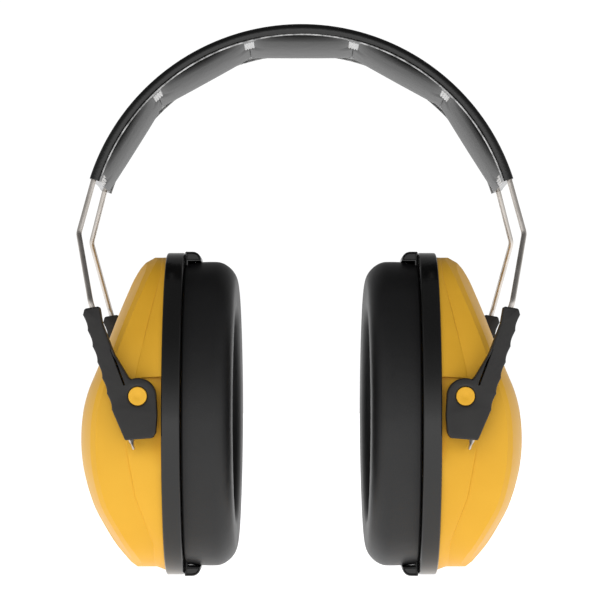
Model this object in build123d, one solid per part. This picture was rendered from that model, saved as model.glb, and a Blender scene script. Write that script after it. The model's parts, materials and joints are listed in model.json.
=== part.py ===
from build123d import *
import math
import os

# Earmuff hearing protector: two cups on a padded double-wire headband.
# Millimetres. +Z is up, X runs from cup to cup, and -Y is the front.
# The origin is the middle of the flat underside of the headband's centre pad.

# Headband
pad_plane_r = 67.1        # from the arch's centre to the flat underside of each pad
cover_inner_r = 70.2      # underside of the cover's edges
cover_outer_r = 73.6      # top of the cover
cover_web = 1.2           # the cover's thickness between its two edges
band_half_angle = 72.5    # the cover ends this many degrees either side of the crown
band_half_width = 24.5    # half of the cover's width, along Y
edge_width = 5.0          # width of each edge that holds a wire
pad_count = 5
lining_inset = 1.2        # the lining stops this far inside the cover's long edges
lining_skin = 0.6         # thickness of the lining under the foam
weld_width = 3.5          # the flat welded land between two pads
weld_skin = 0.7           # thickness of that land
foam_gap = 0.25           # between a foam pad and what it lies in

# Wires
wire_r = 0.9
wire_depth = 1.4          # from the cover's top down to the wire's centreline
wire_side = 2.5           # from the cover's long edge in to the wire's centreline
tunnel_gap = 0.05         # radial gap between a wire and its tunnel
exit_run = 3.2            # straight length of wire inside the end of the cover
shoulder_r = 5.0          # bend where the wire leaves the cover
knee_x = 73.6             # the knee, where the wire turns out sideways and in to its arm
knee_y = 24.0
knee_above_pivot = 53.7
knee_r = 3.5
entry_above_pivot = 30.6  # the bend into the straight leg, just over the arm
entry_r = 3.5
leg_lean = 16.5           # degrees the straight leg leans in as it goes down
leg_offset = 6.4          # from the pivot outwards to the leg, at the pivot's height
leg_below_pivot = 14.6    # the round leg goes down to here
tip_length = 2.6          # the flattened tip below it
tip_width = 3.2           # along Y
tip_thickness = 1.0
tip_root = 0.6            # the tip starts this far up inside the round leg

# Pivots and arms
crown_to_pivot = 117.0    # from the crown pad's underside down to the pivots
pivot_x = 52.8            # from the middle of the head out to each pivot
pin_r = 3.0
pin_gap = 0.05            # radial gap of a pin in its arm
pin_root = 1.5            # how far a pin goes into the shell's wall
arm_gap = 0.3             # between the shell's flat side and an arm
arm_thickness = 6.0
bore_gap = 0.1            # radial gap of a wire in its arm
slot_reach = 8.0          # the slot for the flattened tip goes up to here
slot_gap = 0.3            # on each side of the flattened tip
slit_width = 0.6
ridge_count = 7           # grip ridges on the outer edge
ridge_depth = 0.6

# Cup shell, ring and cushion. Depths are measured outwards from the ring's outer edge.
ring_to_pivot = 7.4       # from the ring's outer edge out to the pivot
ring_width = 6.1          # along X
ring_half_width = 41.0    # along Y
ring_half_height = 54.5
ring_end_r = 34.0         # radius of the oval's upper and lower ends
ring_below_pivot = 5.8    # from the pivot down to the middle of the oval
ring_wall = 2.4
ring_flange = 1.1         # thickness of the ring's inner flange
ring_flange_reach = 8.0   # the flange reaches this far in from the ring's outside
seat_gap = 0.1            # between the ring and what it holds
shell_wall = 2.2
skirt_wall = 2.0
shell_step = 1.4          # the shell starts this far inside the ring's outside
flat_inset = 5.0          # the shell's flat front and back lie this far inside the ring's outside
shell_flare = 2.1         # how far out from the ring the shell stays wider than its flat sides
shell_depth = 28.5
recess_above_pivot = 6.2  # upper end of the clearance recess beside the ring
recess_below_pivot = 22.0
liner_depth = 12.0        # the foam liner fills the dome beyond this depth
liner_gap = 0.5           # between the liner and the shell
cushion_inset = 3.5       # the cushion's outline lies this far inside the ring's
cushion_depth = 16.0      # from the ring to the middle of the cushion's face
cushion_wedge = 2.1       # degrees that the face turns, thicker at the back
cushion_band = 17.2       # width of the cushion from its outline to its opening
cushion_skin = 0.8
cushion_outer_round = 6.0
cushion_inner_round = 4.0
plate_thickness = 1.0
plate_inset = 5.0
plate_opening = 20.0
tab_width = 16.0          # the tabs are as thick as the plate
tab_bend_r = 0.8
tab_lip_gap = 0.3         # between a tab's lip and the cushion
tab_reach = 4.4           # how far a finger tab reaches towards the head

# Sections of the shell's dome: shares of shell_depth outwards from the ring, of ring_half_height
# up and down from the oval's middle, and of ring_half_width to each side.
dome_sections = [
    (0.0, 0.972, 0.971, 0.966),
    (0.140, 0.972, 0.954, 0.937),
    (0.298, 0.919, 0.945, 0.902),
    (0.470, 0.761, 0.905, 0.893),
    (0.632, 0.576, 0.793, 0.878),
    (0.772, 0.363, 0.673, 0.780),
    (0.895, 0.169, 0.536, 0.598),
    (0.965, 0.033, 0.389, 0.390),
    (1.0, -0.068, 0.233, 0.171),
]

beyond = 400.0            # longer than the whole object, for cuts that go right through

# Worked out from the sizes above
arch_z = -pad_plane_r
pad_angle = 2 * band_half_angle / pad_count
wire_arc_r = cover_outer_r - wire_depth
wire_y = band_half_width - wire_side
shell_flat = ring_half_width - flat_inset
arm_inner_y = shell_flat + arm_gap
arm_outer_y = arm_inner_y + arm_thickness
leg_y = arm_inner_y + arm_thickness / 2
pivot_z = -crown_to_pivot
ring_outer_x = pivot_x - ring_to_pivot
ring_inner_x = ring_outer_x - ring_width
oval_z = pivot_z - ring_below_pivot
plate_x = ring_inner_x - seat_gap
cushion_back_x = plate_x - plate_thickness
lean = math.radians(leg_lean)


def on_arch(radius, degrees):
    """The point at this radius and angle from the crown, as X and Z."""
    a = math.radians(degrees)
    return radius * math.sin(a), arch_z + radius * math.cos(a)


def arch_band(inner_r, outer_r, half_angle, half_width, middle=0.0):
    """A stretch of the arch between two radii, centred on the angle called middle."""
    a, b = middle - half_angle, middle + half_angle
    inner = [on_arch(inner_r, v) for v in (a, middle, b)]
    outer = [on_arch(outer_r, v) for v in (b, middle, a)]
    edges = [
        ThreePointArc(*[(x, 0, z) for x, z in inner]),
        Line((inner[2][0], 0, inner[2][1]), (outer[0][0], 0, outer[0][1])),
        ThreePointArc(*[(x, 0, z) for x, z in outer]),
        Line((outer[2][0], 0, outer[2][1]), (inner[0][0], 0, inner[0][1])),
    ]
    return extrude(make_face(edges), amount=half_width, dir=(0, 1, 0), both=True)


def pad_block(plane_r, outer_r, half_angle, half_width, middle):
    """A block with a flat underside at plane_r and an arched top, under one stretch of the arch."""
    a, b = math.radians(-half_angle), math.radians(half_angle)
    low = [(plane_r * math.tan(v), plane_r) for v in (a, b)]
    high = [(outer_r * math.sin(v), outer_r * math.cos(v)) for v in (b, 0, a)]
    edges = [
        Line((low[0][0], 0, low[0][1]), (low[1][0], 0, low[1][1])),
        Line((low[1][0], 0, low[1][1]), (high[0][0], 0, high[0][1])),
        ThreePointArc(*[(x, 0, z) for x, z in high]),
        Line((high[2][0], 0, high[2][1]), (low[0][0], 0, low[0][1])),
    ]
    block = extrude(make_face(edges), amount=half_width, dir=(0, 1, 0), both=True)
    return Pos(0, 0, arch_z) * Rot(0, middle, 0) * block


def leg_point(above_pivot, side):
    """The point of a straight leg's centreline at this height over the pivot, as X and Z."""
    return side * (pivot_x + leg_offset + above_pivot * math.tan(lean)), pivot_z + above_pivot


def wire_body(radius, row):
    """A round bar along one wire: the arch, then a flare, a knee, a splay and a straight leg at each end."""
    tail = math.degrees(exit_run / wire_arc_r)
    end_angle = band_half_angle - tail
    bars = []
    crown = ThreePointArc(*[(x, row * wire_y, z) for x, z in
                            (on_arch(wire_arc_r, v) for v in (-end_angle, 0, end_angle))])
    bars.append(sweep(Plane(crown @ 0, z_dir=crown % 0) * Circle(radius), path=crown))
    for side in (-1, 1):
        start_x, start_z = on_arch(wire_arc_r, side * end_angle)
        a = math.radians(end_angle)
        out_x = start_x + side * exit_run * math.cos(a)
        out_z = start_z - exit_run * math.sin(a)
        entry_x, entry_z = leg_point(entry_above_pivot, side)
        foot_x, foot_z = leg_point(-leg_below_pivot, side)
        route = FilletPolyline(
            (start_x, row * wire_y, start_z),
            (out_x, row * wire_y, out_z),
            (side * knee_x, row * knee_y, pivot_z + knee_above_pivot),
            (entry_x, row * leg_y, entry_z),
            (foot_x, row * leg_y, foot_z),
            radius=[shoulder_r, knee_r, entry_r],
        )
        bars.append(sweep(Plane(route @ 0, z_dir=route % 0) * Circle(radius), path=route))
    return Part() + bars


def wire(row):
    """One spring wire with its two flattened tips."""
    tips = []
    for side in (-1, 1):
        x, z = leg_point(-leg_below_pivot, side)
        down = Plane(origin=(x, row * leg_y, z), x_dir=(0, 1, 0),
                     z_dir=(-side * math.sin(lean), 0, -math.cos(lean)))
        tips.append(down * Pos(0, 0, -tip_root) * Box(
            tip_width, tip_thickness, tip_length + tip_root,
            align=(Align.CENTER, Align.CENTER, Align.MIN)))
    return wire_body(wire_r, row) + tips


def headband_cover():
    """The outer skin: a thin web with a thicker edge along each side, tunnelled for the wires."""
    cover = arch_band(cover_inner_r, cover_outer_r, band_half_angle, band_half_width)
    cover -= arch_band(cover_inner_r - 1, cover_outer_r - cover_web, band_half_angle + 2,
                       band_half_width - edge_width)
    for row in (-1, 1):
        cover -= wire_body(wire_r + tunnel_gap, row)
    return cover


def headband_lining():
    """The inner skin: five flat-bottomed pockets with a thin welded land between them and at both ends."""
    half_width = band_half_width - lining_inset
    lining = arch_band(cover_inner_r - weld_skin, cover_inner_r, band_half_angle, half_width)
    pad_half = pad_angle / 2 - math.degrees(weld_width / 2 / pad_plane_r)
    for middle in pad_middles():
        lining += pad_block(pad_plane_r, cover_inner_r, pad_half, half_width, middle)
    for middle in pad_middles():
        lining -= pad_block(pad_plane_r + lining_skin, cover_outer_r, foam_half_angle() + 0.3,
                            foam_half_width() + foam_gap, middle)
    return lining


def pad_middles():
    """The angle of each pad's middle, from left to right."""
    return [(i - (pad_count - 1) / 2) * pad_angle for i in range(pad_count)]


def foam_half_angle():
    return pad_angle / 2 - math.degrees(weld_width / 2 / pad_plane_r) - 0.8


def foam_half_width():
    return band_half_width - edge_width - foam_gap


def foam_pad(middle):
    """The foam block in one pocket."""
    return pad_block(pad_plane_r + lining_skin + foam_gap, cover_outer_r - cover_web - foam_gap,
                     foam_half_angle(), foam_half_width(), middle)


def oval_sketch(half_width, half_height, tight_share):
    """An oval of four tangent arcs: half_width along local X, half_height along local Y.

    The arcs at the ends of its longer way have tight_share of the shorter half as their radius.
    """
    short, long = sorted((half_width, half_height))
    tight_r = tight_share * short
    rise = long - tight_r
    wide_r = (short ** 2 + rise ** 2 - tight_r ** 2) / (2 * (short - tight_r))
    reach = wide_r - tight_r
    tx = tight_r * (wide_r - short) / reach
    ty = rise + tight_r * rise / reach
    if half_width > half_height:
        tx, ty = ty, tx
    return make_face([
        ThreePointArc((-tx, ty), (0, half_height), (tx, ty)),
        ThreePointArc((tx, ty), (half_width, 0), (tx, -ty)),
        ThreePointArc((tx, -ty), (0, -half_height), (-tx, -ty)),
        ThreePointArc((-tx, -ty), (-half_width, 0), (-tx, ty)),
    ])


def across(x, z):
    """A plane across X, with its local X along +Y and its local Y along +Z."""
    return Plane(origin=(x, 0, z), x_dir=(0, 1, 0), z_dir=(1, 0, 0))


def oval_prism(inset, x0, x1):
    """A prism between two X places, whose outline lies inset inside the ring's outside."""
    half_width = ring_half_width - inset
    share = (ring_end_r - inset) / half_width
    sketch = oval_sketch(half_width, ring_half_height - inset, share)
    return extrude(across(x0, oval_z) * sketch, amount=x1 - x0)


def dome(inset, depth_scale, sections):
    """The rounded cup outside the ring, drawn in by inset all round."""
    faces = []
    for depth, top, bottom, side in sections:
        w = side * ring_half_width - inset
        h = (top + bottom) / 2 * ring_half_height - inset
        middle = oval_z + (top - bottom) / 2 * ring_half_height
        outline = oval_sketch(w, h, ring_end_r / ring_half_width)
        faces.append(across(ring_outer_x + depth * shell_depth * depth_scale, middle) * outline)
    return loft(faces, ruled=True)


def side_slab(half_width):
    """Everything within half_width of the middle plane, for one cup."""
    return Pos(pivot_x, 0, pivot_z) * Box(beyond, 2 * half_width, beyond)


def cup_cavity(inset):
    """The space inside the shell's dome, drawn in by inset."""
    scale = (shell_depth - inset) / shell_depth
    space = dome(inset, scale, dome_sections[:-1])
    neck = oval_prism(ring_wall + seat_gap + skirt_wall, ring_outer_x - skirt_wall, ring_outer_x)
    return (space + neck) & side_slab(shell_flat - inset)


def cup_shell():
    """The cup: a domed shell with flat sides, a skirt that the ring grips, and two pivot pins."""
    shell = dome(0, 1, dome_sections) & side_slab(shell_flat + 3)
    skirt_x = ring_inner_x + ring_flange + seat_gap
    shell += oval_prism(ring_wall + seat_gap, skirt_x, ring_outer_x)
    for row in (-1, 1):
        away = Align.MIN if row > 0 else Align.MAX
        shell -= Pos(ring_outer_x + shell_flare, row * shell_flat, pivot_z) * Box(
            beyond, beyond, beyond, align=(Align.MIN, away, Align.CENTER))
        shell -= Pos(ring_outer_x, row * shell_flat, pivot_z + recess_above_pivot) * Box(
            beyond, beyond, recess_above_pivot + recess_below_pivot, align=(Align.MIN, away, Align.MAX))
    shell -= cup_cavity(shell_wall)
    shell -= oval_prism(ring_wall + seat_gap + skirt_wall, skirt_x - 1, ring_outer_x - skirt_wall)
    for row in (-1, 1):
        root = Plane(origin=(pivot_x, row * (shell_flat - pin_root), pivot_z), z_dir=(0, row, 0))
        shell += root * Cylinder(pin_r, arm_outer_y - shell_flat + pin_root,
                                 align=(Align.CENTER, Align.CENTER, Align.MIN))
    return shell


def seal_ring():
    """The hoop that grips the shell's skirt, with an inner flange that carries the cushion."""
    ring = oval_prism(0, ring_inner_x, ring_outer_x)
    ring -= oval_prism(ring_flange_reach, ring_inner_x - 1, ring_outer_x)
    ring -= oval_prism(ring_wall, ring_inner_x + ring_flange, ring_outer_x + 1)
    return ring


def cushion_plate():
    """The cushion's stiff back, with a curled finger tab above and below."""
    plate = oval_prism(plate_inset, cushion_back_x, plate_x)
    plate -= oval_prism(plate_opening, cushion_back_x - 1, plate_x + 1)
    for way in (-1, 1):
        foot = oval_z + way * (ring_half_height - plate_inset - 1)
        crest = oval_z + way * (ring_half_height - plate_thickness / 2)
        lip = oval_z + way * (ring_half_height - cushion_inset + tab_lip_gap + plate_thickness / 2)
        middle_x = plate_x - plate_thickness / 2
        line = FilletPolyline(
            (middle_x, 0, foot),
            (middle_x, 0, crest),
            (middle_x - tab_reach / 2, 0, crest),
            (middle_x - tab_reach, 0, lip),
            radius=[tab_bend_r, tab_bend_r],
        )
        outline = offset(Wire(line.edges()), plate_thickness / 2, side=Side.BOTH, kind=Kind.INTERSECTION)
        strip = make_face(outline.edges())
        plate += extrude(strip, amount=tab_width / 2, dir=(0, 1, 0), both=True)
    return plate


def cushion_block(skin):
    """The cushion's outer form, drawn in by skin on every side."""
    face_x = cushion_back_x - cushion_depth
    block = oval_prism(cushion_inset + skin, face_x - 8, cushion_back_x - skin)
    front = Plane(origin=(face_x + skin, 0, oval_z), x_dir=(0, 0, 1),
                  z_dir=Vector(-1, 0, 0).rotate(Axis.Z, cushion_wedge))
    block -= front * Box(beyond, beyond, beyond, align=(Align.CENTER, Align.CENTER, Align.MIN))
    block -= oval_prism(cushion_inset + cushion_band - skin, face_x - 12, cushion_back_x + 1)
    outer = block.faces().sort_by(Axis.X)[0].outer_wire().edges()
    block = fillet(outer, cushion_outer_round - skin)
    inner = block.faces().sort_by(Axis.X)[0].inner_wires()[0].edges()
    return fillet(inner, cushion_inner_round - skin)


def acoustic_liner():
    """The foam that fills the bottom of the dome."""
    far = Pos(ring_outer_x + liner_depth, 0, pivot_z) * Box(
        beyond, beyond, beyond, align=(Align.MIN, Align.CENTER, Align.CENTER))
    return cup_cavity(shell_wall + liner_gap) & far


def arm_outline():
    """The arm's outline about its pivot, at +X: grip edge, foot, hub and strut."""
    ridge_top, ridge_end = (17.7, 26.2), (8.3, -4.3)
    foot_outer, foot_inner, heel = (4.0, -14.2), (-4.8, -13.5), (-5.8, -11.8)
    waist, hub_r = (-6.2, -6.0), 5.85
    strut_low, strut_high, neck = (2.5, 5.3), (7.7, 13.8), (11.5, 23.7)
    crown_inner, crown, crown_outer = (12.6, 28.5), (14.8, 29.0), (17.4, 27.2)
    edges = []
    for i in range(ridge_count - 1):
        t0, t1 = i / (ridge_count - 1), (i + 1) / (ridge_count - 1)
        a = [ridge_top[k] + (ridge_end[k] - ridge_top[k]) * t0 for k in (0, 1)]
        b = [ridge_top[k] + (ridge_end[k] - ridge_top[k]) * t1 for k in (0, 1)]
        way = math.hypot(b[0] - a[0], b[1] - a[1])
        inward = (b[1] - a[1]) / way, (a[0] - b[0]) / way
        dip = [a[k] + 0.6 * (b[k] - a[k]) + ridge_depth * inward[k] for k in (0, 1)]
        edges.append(ThreePointArc(tuple(a), tuple(dip), tuple(b)))
    hub_start = (-hub_r * math.cos(math.radians(8)), hub_r * math.sin(math.radians(8)))
    hub_mid = (-hub_r * math.cos(math.radians(60)), hub_r * math.sin(math.radians(60)))
    for a, b in ((ridge_end, foot_outer), (foot_outer, foot_inner), (foot_inner, heel),
                 (heel, waist), (waist, hub_start)):
        edges.append(Line(a, b))
    edges.append(ThreePointArc(hub_start, hub_mid, strut_low))
    for a, b in ((strut_low, strut_high), (strut_high, neck), (neck, crown_inner),
                 (crown_inner, crown), (crown, crown_outer), (crown_outer, ridge_top)):
        edges.append(Line(a, b))
    return edges


def arm(row):
    """One arm at +X: a flat bar with a bore for the wire's leg, a slit beside the strut, and the pivot hole."""
    flat = Plane(origin=(pivot_x, -arm_inner_y, pivot_z), x_dir=(1, 0, 0), z_dir=(0, -1, 0))
    body = extrude(flat * make_face(arm_outline()), amount=arm_thickness)
    body -= Plane(origin=(pivot_x, 0, pivot_z), z_dir=(0, 1, 0)) * Cylinder(pin_r + pin_gap, beyond)
    slit_top, slit_end = (8.6, 15.0), (4.3, 3.6)
    way = math.degrees(math.atan2(slit_top[0] - slit_end[0], slit_top[1] - slit_end[1]))
    slit_length = math.hypot(slit_top[0] - slit_end[0], slit_top[1] - slit_end[1])
    body -= Pos(pivot_x + slit_end[0], -leg_y, pivot_z + slit_end[1]) * Rot(0, way, 0) * Box(
        slit_width, 2 * arm_thickness, slit_length,
        align=(Align.CENTER, Align.CENTER, Align.MIN))
    foot_x, foot_z = leg_point(0, 1)
    along_leg = Pos(foot_x, -leg_y, foot_z) * Rot(0, leg_lean, 0)
    body -= along_leg * Cylinder(wire_r + bore_gap, beyond)
    body -= along_leg * Pos(0, 0, slot_reach) * Box(
        tip_thickness + 2 * slot_gap, tip_width + 2 * slot_gap, beyond,
        align=(Align.CENTER, Align.CENTER, Align.MAX))
    return body if row < 0 else mirror(body, about=Plane.XZ)


def both_sides(piece):
    """The piece at +X and its mirror image at -X, with the name of each side."""
    return (("right", piece), ("left", mirror(piece, about=Plane.YZ)))


def all_pieces():
    """Every piece, by the name of its node."""
    pieces = {
        "front_wire": wire(-1),
        "rear_wire": wire(1),
        "headband_cover": headband_cover(),
        "headband_lining": headband_lining(),
    }
    foam_names = ("left_end_foam", "left_inner_foam", "crown_foam", "right_inner_foam", "right_end_foam")
    for name, middle in zip(foam_names, pad_middles()):
        pieces[name] = foam_pad(middle)
    one_side = {
        "front_arm": arm(-1),
        "rear_arm": arm(1),
        "cup_shell": cup_shell(),
        "acoustic_liner": acoustic_liner(),
        "seal_ring": seal_ring(),
        "cushion_plate": cushion_plate(),
        "cushion_cover": cushion_block(0) - cushion_block(cushion_skin),
        "cushion_foam": cushion_block(cushion_skin + seat_gap),
    }
    for name, piece in one_side.items():
        for side, placed in both_sides(piece):
            pieces[side + "_" + name] = placed
    return pieces


os.makedirs("parts", exist_ok=True)
for node, solid in all_pieces().items():
    export_step(solid, "parts/" + node + ".step")
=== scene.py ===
"""An earmuff hearing protector, finished round its packed hard model.

Meshes are worked out in millimetres and stored in metres. +Z is up, X runs from cup to cup
with the wearer's front at -Y, and the origin is the underside of the headband's centre pad.
"""
import json
import math

import bmesh
import bpy
import numpy as np
from mathutils.geometry import tessellate_polygon
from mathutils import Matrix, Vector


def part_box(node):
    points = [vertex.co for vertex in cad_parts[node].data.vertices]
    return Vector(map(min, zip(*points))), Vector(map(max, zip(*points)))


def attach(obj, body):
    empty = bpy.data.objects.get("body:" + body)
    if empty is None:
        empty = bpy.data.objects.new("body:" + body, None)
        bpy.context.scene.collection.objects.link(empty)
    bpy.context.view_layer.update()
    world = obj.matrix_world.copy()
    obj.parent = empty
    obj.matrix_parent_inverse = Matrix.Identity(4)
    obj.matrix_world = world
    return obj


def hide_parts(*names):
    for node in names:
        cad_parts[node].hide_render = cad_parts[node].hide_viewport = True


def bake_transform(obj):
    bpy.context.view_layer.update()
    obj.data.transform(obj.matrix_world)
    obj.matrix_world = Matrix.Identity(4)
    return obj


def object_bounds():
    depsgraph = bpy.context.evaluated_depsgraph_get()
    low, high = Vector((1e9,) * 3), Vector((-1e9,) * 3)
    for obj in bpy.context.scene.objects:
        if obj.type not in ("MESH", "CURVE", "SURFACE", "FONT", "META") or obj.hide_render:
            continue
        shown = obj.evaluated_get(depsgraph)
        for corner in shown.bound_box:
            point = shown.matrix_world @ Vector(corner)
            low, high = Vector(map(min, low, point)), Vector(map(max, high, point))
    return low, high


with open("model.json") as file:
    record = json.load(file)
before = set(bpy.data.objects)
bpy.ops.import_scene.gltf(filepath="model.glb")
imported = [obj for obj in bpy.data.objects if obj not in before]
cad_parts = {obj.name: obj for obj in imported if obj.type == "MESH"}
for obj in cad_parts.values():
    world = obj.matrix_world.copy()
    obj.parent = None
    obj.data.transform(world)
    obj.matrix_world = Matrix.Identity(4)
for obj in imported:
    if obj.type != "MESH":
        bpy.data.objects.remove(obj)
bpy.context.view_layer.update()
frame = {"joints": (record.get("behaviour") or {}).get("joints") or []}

# Cup shells. Each is a deep bowl of yellow ABS, injection moulded in one shot, with flat sides
# where the arms lie, a ridge line down each flat side, and a bevel round its domed outer face.
# A turned pin stands on each flat side and snaps into an arm.

MM = 0.001
ring_low, ring_high = (np.array(corner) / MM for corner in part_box("right_seal_ring"))
pivot = np.array(next(j for j in frame["joints"] if j["name"] == "right_cup_tilt")["pos_m"]) / MM
ring_x = ring_high[0]                          # the ring's outer edge, where the bowl starts
oval_z = (ring_low[2] + ring_high[2]) / 2
oval_half_width = ring_high[1]
oval_half_height = (ring_high[2] - ring_low[2]) / 2
oval_end_r = 34.0

shell_step = 1.5          # the bowl starts this far inside the ring's outside
shell_flat = 36.0         # its flat front and back sides, from the middle plane
shell_wall = 2.0
skirt_reach = 1.8         # the skirt goes this deep into the ring, and steps in there
skirt_step = 0.8
seat = 0.15               # the wall starts this far out from the ring's edge
side_draw = 2.4           # outside the ridge the wall lies this much further in, at the cup's sides
low_draw = 1.1            # and this much at its bottom
wall_draft = 0.1
ridge_low = (8.9, 8.0)    # the ridge line: height over the pivot, and distance out from the ring
ridge_high = (40.7, 1.3)
ridge_step = 0.5          # the wall inside the ridge stands this proud of the flat
ridge_width = 0.3
ridge_fade = 8.0          # it sinks into the wall within this distance of the middle plane
arm_middle, arm_half, arm_fade = 1.0, 15.0, 5.0     # heights over the pivot, and how softly they end
arm_share = 0.4           # of the ridge's step that is left beside an arm
flare_knots = [(-50.0, 3.3), (-34.0, 8.6), (-16.6, 11.4), ridge_low, ridge_high]
flare_clear = 1.5         # between the ridge and the bevel
recess_high = 6.2         # below here the flat runs right up to the ring, and fades out again
recess_fade = (-26.0, -12.0)
recess_r = 66.0           # of the cup's oval beside the recess
recess_turn = 0.003       # the step at its top is this sharp, in radians
flat_blend = 1.2          # how softly the oval runs into the flat
bevel_width = 1.8
face_drop = 5.8           # how much shallower the outer face is beside its bevel
face_drop_fade = 12.0     # less within this distance of the middle plane
face_middle = pivot[2] - 8.0                   # the height of that face's middle
# The bowl's depth out from the ring, in its middle plane, by height over the pivot.
depth_knots = [
    (-56.4, 11.9), (-50.0, 17.3), (-43.8, 21.2), (-37.2, 24.7), (-27.5, 27.4), (-13.3, 28.5),
    (-5.2, 27.8), (1.9, 26.1), (8.0, 23.8), (20.8, 19.3), (34.0, 14.0), (40.7, 10.9),
    (44.3, 8.5), (46.5, 6.2),
]


def oval(inset, turn):
    """Y and Z round the cup's oval, drawn in by inset. turn is the way the edge faces, from +Z towards +Y.

    Four arcs that meet without a corner: a tight one above and below, and a wide one on each
    side, whose radius follows from the oval's half sizes and the tight radius.
    """
    rise = oval_half_height - oval_end_r
    wide_r = (oval_half_width**2 + rise**2 - oval_end_r**2) / (2 * (oval_half_width - oval_end_r))
    reach = wide_r - oval_half_width
    s, c = np.sin(turn), np.cos(turn)
    at_end = np.abs(c) > math.cos(math.atan2(reach, rise))
    y = np.where(at_end, (oval_end_r - inset) * s, (wide_r - inset) * s - np.sign(s) * reach)
    z = np.where(at_end, (oval_end_r - inset) * c + np.sign(c) * rise, (wide_r - inset) * c)
    return y, oval_z + z


def turns(count):
    """Directions round the oval that are evenly spaced along its edge."""
    fine = np.linspace(0, 2 * math.pi, 4001)
    y, z = oval(0, fine)
    run = np.concatenate([[0], np.cumsum(np.hypot(np.diff(y), np.diff(z)))])
    return np.interp(np.linspace(0, run[-1], count, endpoint=False), run, fine)


def curve_through(knots, at):
    """Heights of a smooth curve through knots, which are (place, height) in rising order of place.

    A cubic between each two knots, whose slope at a knot is that of its neighbours' chord.
    """
    place, height = np.array(knots, float).T
    slope = np.gradient(height, place)
    at = np.clip(at, place[0], place[-1])
    i = np.clip(np.searchsorted(place, at) - 1, 0, len(place) - 2)
    step = place[i + 1] - place[i]
    t = (at - place[i]) / step
    return (height[i] * (2 * t**3 - 3 * t**2 + 1) + height[i + 1] * (3 * t**2 - 2 * t**3)
            + step * (slope[i] * (t**3 - 2 * t**2 + t) + slope[i + 1] * (t**3 - t**2)))


def piece(name, grids, material, side=1, caps=(), sharp=35.0, closed=True):
    """One mesh from grids of points, rows by columns by XYZ in millimetres.

    Each grid is closed round its columns, unless closed is false. side -1 mirrors it to the left.
    caps are (points, triangles) that close flat ends. Doubled points are merged, the normals
    recalculated outwards, and edges bent by more than sharp degrees stay crisp.
    """
    corners, faces, start = [], [], 0
    for grid in grids:
        rows, columns = grid.shape[:2]
        index = start + np.arange(rows * columns).reshape(rows, columns)
        if closed:
            index = np.hstack([index, index[:, :1]])
        quads = np.stack([index[:-1, :-1], index[1:, :-1], index[1:, 1:], index[:-1, 1:]], -1)
        faces += quads.reshape(-1, 4).tolist()
        corners.append(grid.reshape(-1, 3))
        start += rows * columns
    for points, triangles in caps:
        faces += (np.array(triangles) + start).tolist()
        corners.append(points)
        start += len(points)
    corners = np.concatenate(corners) * MM * np.array([side, 1, 1])
    mesh = bpy.data.meshes.new(name)
    mesh.from_pydata(corners.tolist(), [], faces)
    shape = bmesh.new()
    shape.from_mesh(mesh)
    bmesh.ops.remove_doubles(shape, verts=shape.verts, dist=1e-6)
    bmesh.ops.recalc_face_normals(shape, faces=shape.faces)
    shape.to_mesh(mesh)
    shape.free()
    mesh.shade_smooth()
    mesh.set_sharp_from_angle(angle=math.radians(sharp))
    mesh.materials.append(material)
    made = bpy.data.objects.new(name, mesh)
    bpy.context.scene.collection.objects.link(made)
    return made


def hex_colour(code):
    """An sRGB hex code as a linear colour with alpha 1."""
    srgb = np.array([int(code[i:i + 2], 16) for i in (0, 2, 4)]) / 255
    linear = np.where(srgb <= 0.04045, srgb / 12.92, ((srgb + 0.055) / 1.055) ** 2.4)
    return (*linear.tolist(), 1.0)


def add(tree, kind, settings=None, **inputs):
    """Adds a node. settings are its own properties.

    An input is a value, or an output to link. Its name has _ for a space, or is a letter and its number.
    """
    node = tree.nodes.new(kind)
    for name, value in (settings or {}).items():
        setattr(node, name, value)
    for name, value in inputs.items():
        socket = node.inputs[int(name[1:])] if name[1:].isdigit() else node.inputs[name.replace("_", " ")]
        if isinstance(value, bpy.types.NodeSocket):
            tree.links.new(value, socket)
        else:
            socket.default_value = value
    return node


def finish_of(name, **shader):
    """A new material with its Principled shader, which takes shader, and its object coordinates in metres."""
    material = bpy.data.materials.new(name)
    material.use_nodes = True
    tree = material.node_tree
    tree.nodes.clear()
    surface = add(tree, "ShaderNodeBsdfPrincipled", **shader)
    add(tree, "ShaderNodeOutputMaterial", Surface=surface.outputs[0])
    place = add(tree, "ShaderNodeTexCoord").outputs["Object"]
    return material, tree, surface, place


def ramp(tree, factor, stops):
    """A colour ramp of (position, hex code) stops."""
    node = add(tree, "ShaderNodeValToRGB", Fac=factor)
    band = node.color_ramp
    while len(band.elements) < len(stops):
        band.elements.new(0.5)
    for element, (position, code) in zip(band.elements, stops):
        element.position = position
        element.color = hex_colour(code)
    return node.outputs[0]


# Yellow ABS from a spark-eroded mould: satin, with soft broad highlights and colour that drifts a
# little where the plastic flowed. The texture is drawn at half a millimetre, coarse enough to show.
yellow_abs, tree, surface, place = finish_of(
    "moulded_yellow_abs", Roughness=0.42, IOR=1.45, Specular_IOR_Level=0.2)
flow = add(tree, "ShaderNodeTexNoise", Vector=place, Scale=28.0, Detail=3.0).outputs[0]
tree.links.new(ramp(tree, flow, [(0.3, "D49F2C"), (0.7, "DBA734")]), surface.inputs["Base Color"])
eroded = add(tree, "ShaderNodeTexNoise", Vector=place, Scale=1 / (0.5 * MM), Detail=2.0).outputs[0]
grain = add(tree, "ShaderNodeBump", Height=eroded, Strength=0.06, Distance=0.1 * MM)
tree.links.new(grain.outputs[0], surface.inputs["Normal"])


def cut(inset, flat, turn):
    """The cup's oval drawn in by inset and cut off softly at the flat sides, as Y and Z."""
    y, z = oval(inset, turn)
    near = -flat_blend * np.logaddexp(-np.abs(y) / flat_blend, -flat / flat_blend)
    return np.sign(y) * near, z


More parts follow.
